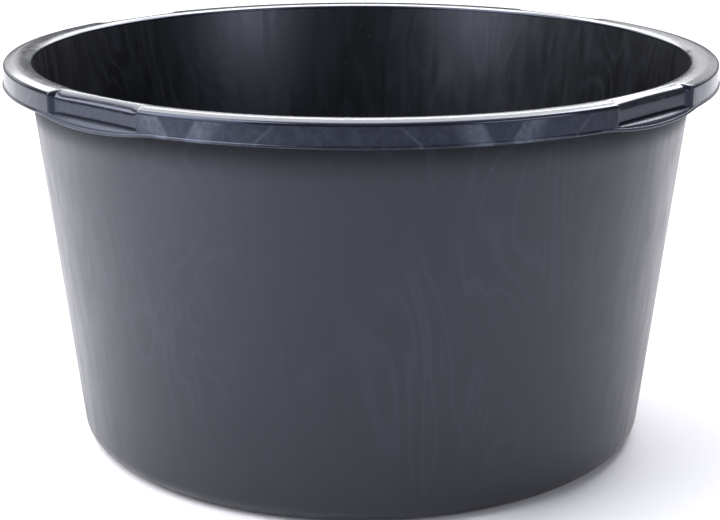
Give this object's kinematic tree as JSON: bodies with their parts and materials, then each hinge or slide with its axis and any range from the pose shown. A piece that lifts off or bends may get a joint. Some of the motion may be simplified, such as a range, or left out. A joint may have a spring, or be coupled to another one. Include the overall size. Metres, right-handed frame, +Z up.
{
  "type": "mortar mixing tub",
  "caption": "Round black polyethylene mortar mixing tub, about 90 litres, with a down-turned rim and recessed hand grips in it.",
  "frame": {"origin": "centre of the plane that the tub stands on, on the tub's axis", "axes": "+Z up along the tub's axis; -Y is the front; the hand grips lie on the diagonals between X and Y"},
  "size_m": [0.67, 0.67, 0.366],
  "materials": {
    "wall_hdpe": "satin black high-density polyethylene, injection moulded",
    "rim_hdpe": "satin black high-density polyethylene, smoother from the polished rim insert",
    "grip_hdpe": "fine matt black high-density polyethylene, injection moulded",
    "base_hdpe": "matt black high-density polyethylene, with turned rings from the mould"
  },
  "bodies": {
    "root": {"floor_panel": "base_hdpe", "gate_stub": "base_hdpe", "stand_ring": "base_hdpe", "heel": "wall_hdpe", "wall": "wall_hdpe", "rim_top": "rim_hdpe", "skirt_front": "rim_hdpe", "skirt_right": "rim_hdpe", "skirt_back": "rim_hdpe", "skirt_left": "rim_hdpe", "hem_front": "rim_hdpe", "hem_right": "rim_hdpe", "hem_back": "rim_hdpe", "hem_left": "rim_hdpe", "grip_panel_front_right": "grip_hdpe", "grip_panel_back_right": "grip_hdpe", "grip_panel_back_left": "grip_hdpe", "grip_panel_front_left": "grip_hdpe", "grip_ledge_front_right": "grip_hdpe", "grip_ledge_back_right": "grip_hdpe", "grip_ledge_back_left": "grip_hdpe", "grip_ledge_front_left": "grip_hdpe", "rim_ribs_front": "rim_hdpe", "rim_ribs_right": "rim_hdpe", "rim_ribs_back": "rim_hdpe", "rim_ribs_left": "rim_hdpe"}
  },
  "joints": []
}
